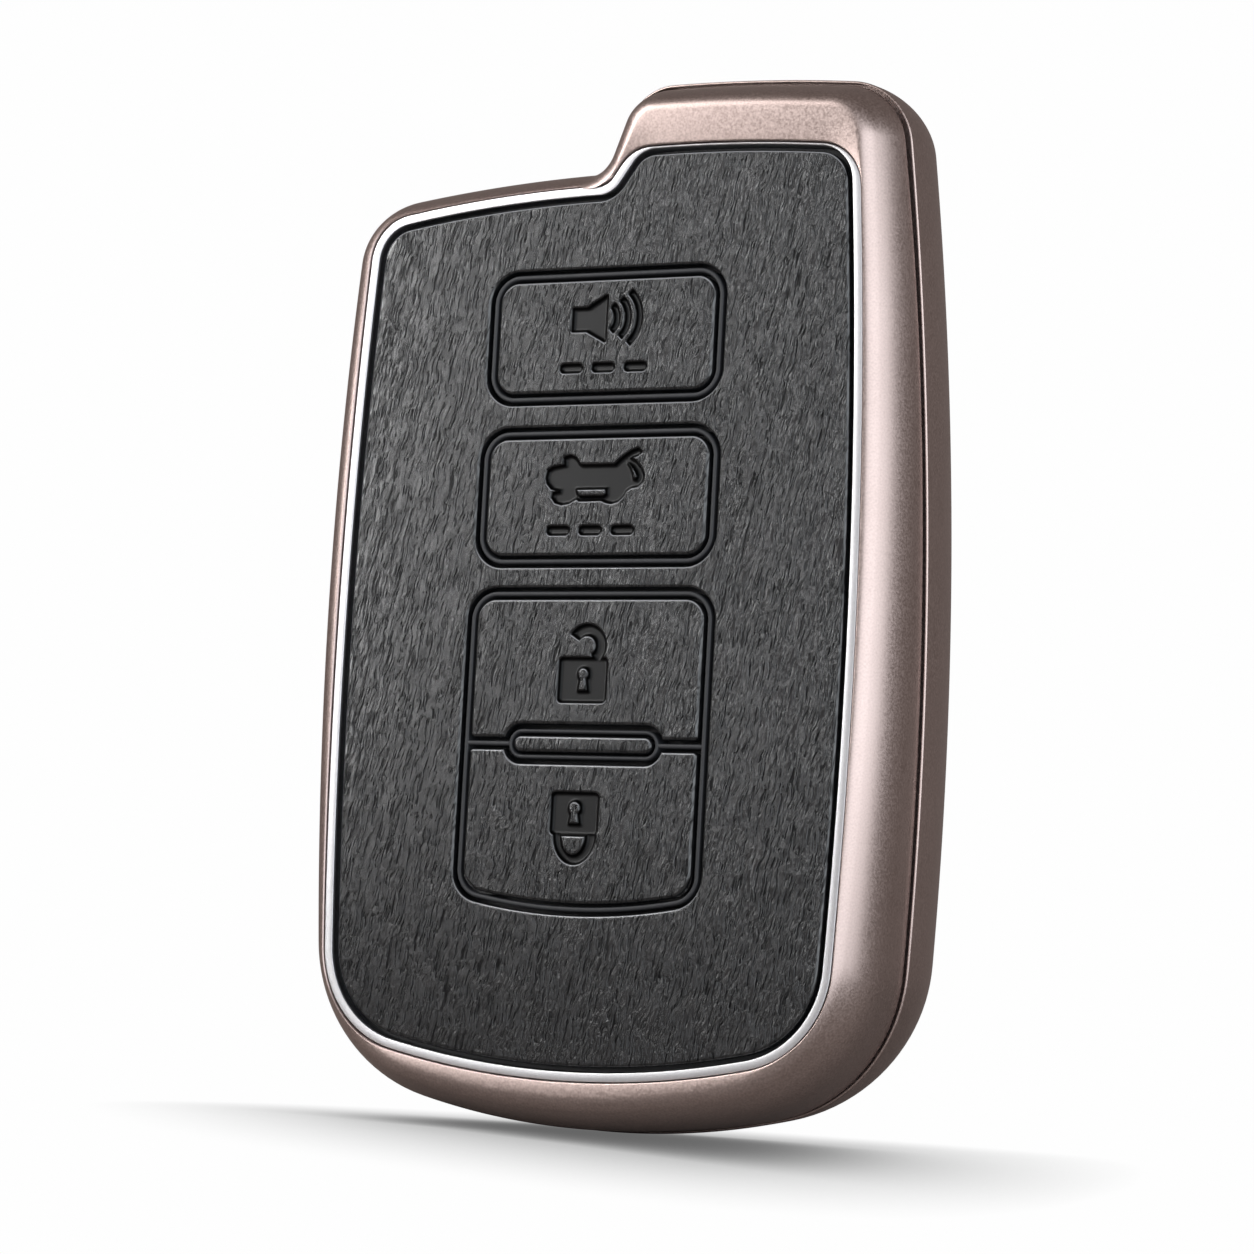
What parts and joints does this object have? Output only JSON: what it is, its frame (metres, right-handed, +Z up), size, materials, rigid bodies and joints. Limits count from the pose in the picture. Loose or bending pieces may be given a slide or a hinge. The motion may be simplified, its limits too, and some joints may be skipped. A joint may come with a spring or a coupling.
{
  "type": "key fob cover",
  "caption": "Two-half metal cover for a car key fob, with a grained leather front, leather-faced push buttons in a column, a bright trim ring and a notched upper corner.",
  "frame": {"origin": "bottom centre of the bounding box, the cover standing upright as pictured", "axes": "+Z up along the cover towards its notched end, +X to the right as seen from the keypad, +Y away from the keypad towards the back"},
  "size_m": [0.05, 0.018, 0.0797],
  "materials": {
    "shell_metal": "satin rose-taupe electroplate over die-cast zinc, with a fine sparkle",
    "trim_metal": "polished",
    "leather": "charcoal, embossed with a fine upright wood grain",
    "tray_plastic": "moulded, dull black",
    "plunger_plastic": "moulded, dull black",
    "film": "double-sided adhesive film",
    "liner_foam": "soft fleece-faced pad"
  },
  "bodies": {
    "front_shell": {"front_frame": "shell_metal", "trim_ring": "trim_metal", "front_leather": "leather", "finger_bar": "leather", "keypad_tray": "tray_plastic", "front_retainer": "tray_plastic", "front_adhesive": "film"},
    "rear_shell": {"rear_frame": "shell_metal", "rear_tray": "tray_plastic", "rear_leather": "leather", "rear_adhesive": "film", "rear_liner": "liner_foam"},
    "alarm_button": {"alarm_cap": "leather", "alarm_plunger": "plunger_plastic"},
    "tailgate_button": {"tailgate_cap": "leather", "tailgate_plunger": "plunger_plastic"},
    "unlock_button": {"unlock_cap": "leather", "unlock_plunger": "plunger_plastic"},
    "lock_button": {"lock_cap": "leather", "lock_plunger": "plunger_plastic"}
  },
  "joints": [
    {"name": "alarm_press", "type": "slide", "parent": "front_shell", "child": "alarm_button", "axis": [0, 1, 0], "range_m": [0, 0.0005], "stiffness_N_per_m": 400},
    {"name": "tailgate_press", "type": "slide", "parent": "front_shell", "child": "tailgate_button", "axis": [0, 1, 0], "range_m": [0, 0.0005], "stiffness_N_per_m": 400},
    {"name": "unlock_press", "type": "slide", "parent": "front_shell", "child": "unlock_button", "axis": [0, 1, 0], "range_m": [0, 0.0005], "stiffness_N_per_m": 400},
    {"name": "lock_press", "type": "slide", "parent": "front_shell", "child": "lock_button", "axis": [0, 1, 0], "range_m": [0, 0.0005], "stiffness_N_per_m": 400},
    {"name": "rear_pull", "type": "slide", "parent": "front_shell", "child": "rear_shell", "axis": [0, 0.9973, 0.0732], "range_m": [0, 0.03]}
  ]
}
